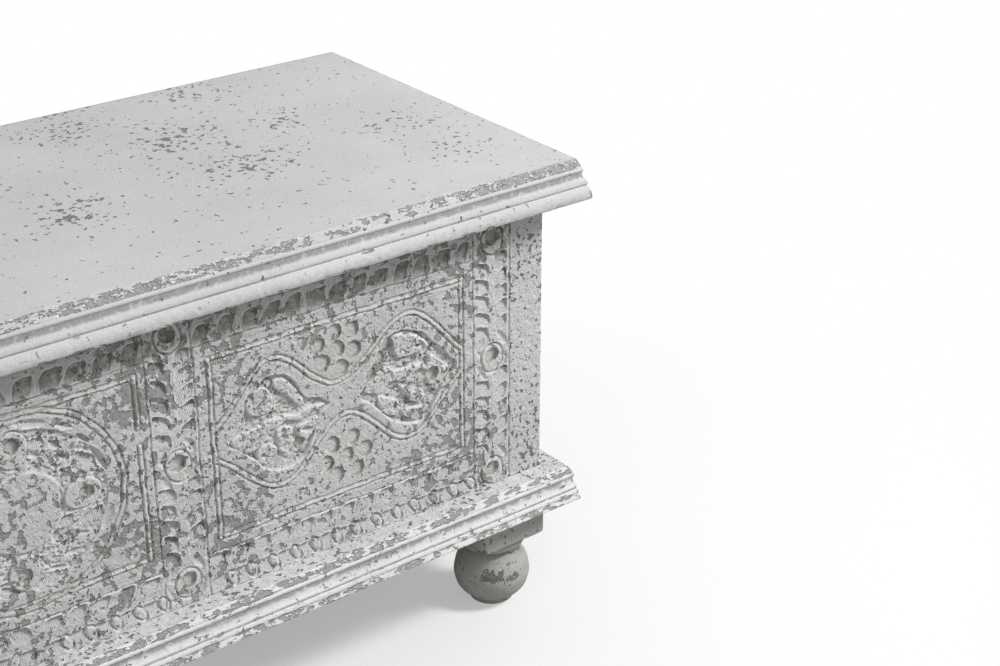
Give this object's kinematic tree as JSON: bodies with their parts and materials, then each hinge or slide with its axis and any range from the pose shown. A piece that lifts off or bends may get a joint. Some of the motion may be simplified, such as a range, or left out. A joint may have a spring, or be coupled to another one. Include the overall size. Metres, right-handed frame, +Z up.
{
  "type": "storage chest",
  "caption": "Long wooden storage chest with a carved front, a hinged overhanging lid, moulded lid edge and base, and turned ball feet under square blocks.",
  "frame": {"origin": "on the floor under the middle of the chest's outline", "axes": "+X along the width, to the right seen from the front; +Y to the back; +Z up"},
  "size_m": [1.0894, 0.4014, 0.4623],
  "materials": {
    "distressed_paint": "chalky grey-white paint, chipped to grey, over solid wood",
    "foot_paint": "greyer worn paint over turned solid wood",
    "bare_wood": "sawn unpainted wood",
    "floor_ply": "plain plywood board",
    "hinge_iron": "dark blackened steel"
  },
  "bodies": {
    "chest": {"front_panel": "distressed_paint", "back_panel": "distressed_paint", "side_panel_left": "distressed_paint", "side_panel_right": "distressed_paint", "floor_panel": "floor_ply", "floor_cleat_front": "bare_wood", "floor_cleat_back": "bare_wood", "floor_cleat_left": "bare_wood", "floor_cleat_right": "bare_wood", "corner_block_front_left": "bare_wood", "corner_block_front_right": "bare_wood", "corner_block_back_left": "bare_wood", "corner_block_back_right": "bare_wood", "foot_front_left": "foot_paint", "foot_front_right": "foot_paint", "foot_back_left": "foot_paint", "foot_back_right": "foot_paint", "foot_dowel_front_left": "bare_wood", "foot_dowel_front_right": "bare_wood", "foot_dowel_back_left": "bare_wood", "foot_dowel_back_right": "bare_wood", "base_moulding_front": "distressed_paint", "base_moulding_left": "distressed_paint", "base_moulding_right": "distressed_paint", "hinge_body_leaf_left": "hinge_iron", "hinge_body_leaf_right": "hinge_iron", "hinge_pin_left": "hinge_iron", "hinge_pin_right": "hinge_iron"},
    "lid": {"lid_board": "distressed_paint", "lid_lip_front": "distressed_paint", "lid_lip_left": "distressed_paint", "lid_lip_right": "distressed_paint", "lid_batten_left": "bare_wood", "lid_batten_right": "bare_wood", "hinge_lid_leaf_left": "hinge_iron", "hinge_lid_leaf_right": "hinge_iron"}
  },
  "joints": [
    {"name": "lid_hinge", "type": "hinge", "parent": "chest", "child": "lid", "pos_m": [0, 0.183, 0.43765], "axis": [-1, 0, 0], "range_deg": [0, 105]}
  ]
}
